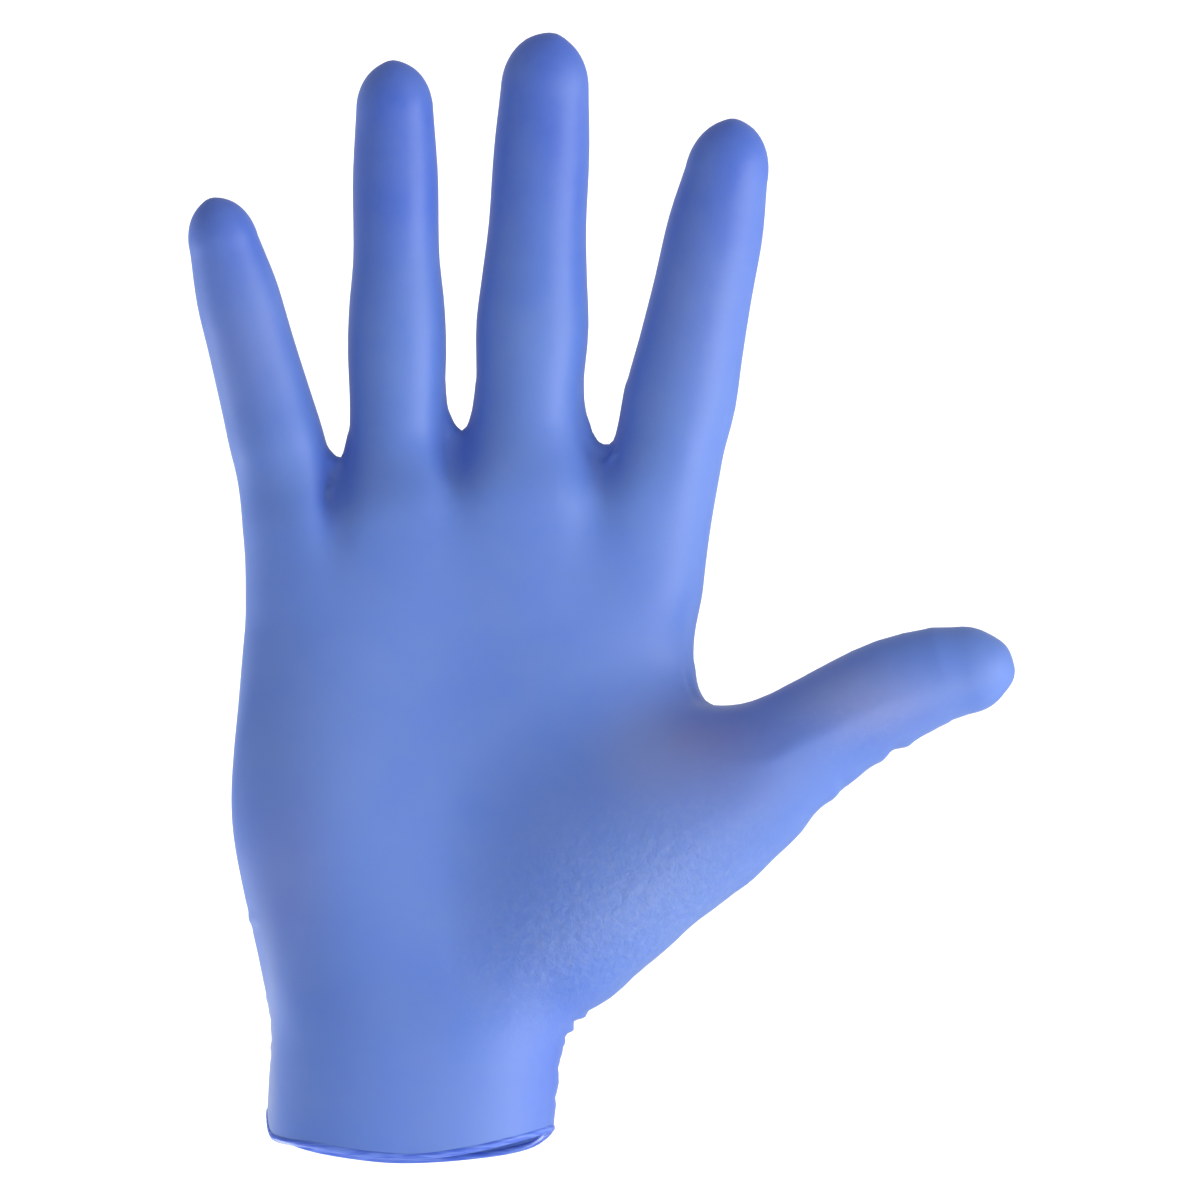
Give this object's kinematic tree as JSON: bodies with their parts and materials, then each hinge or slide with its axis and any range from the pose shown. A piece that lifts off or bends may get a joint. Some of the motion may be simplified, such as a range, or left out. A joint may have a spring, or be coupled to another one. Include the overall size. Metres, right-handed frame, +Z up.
{
  "type": "nitrile exam glove",
  "caption": "Thin blue dipped glove in its worn form, palm forward with the fingers spread, hollow and open at a short cuff with a rolled bead.",
  "frame": {"origin": "middle of the wrist opening, level with the lowest point of the bead on the palm's side", "axes": "+Z up the fingers, +X to the thumb's side, -Y out of the palm"},
  "size_m": [0.1659, 0.046, 0.2257],
  "materials": {
    "film": "smooth satin dipped film",
    "rolled_film": "smooth satin dipped film, rolled"
  },
  "bodies": {
    "root": {"cuff": "film", "palm": "film", "little_stall": "film", "ring_stall": "film", "middle_stall": "film", "index_stall": "film", "thumb_stall": "film", "cuff_bead": "rolled_film"}
  },
  "joints": []
}
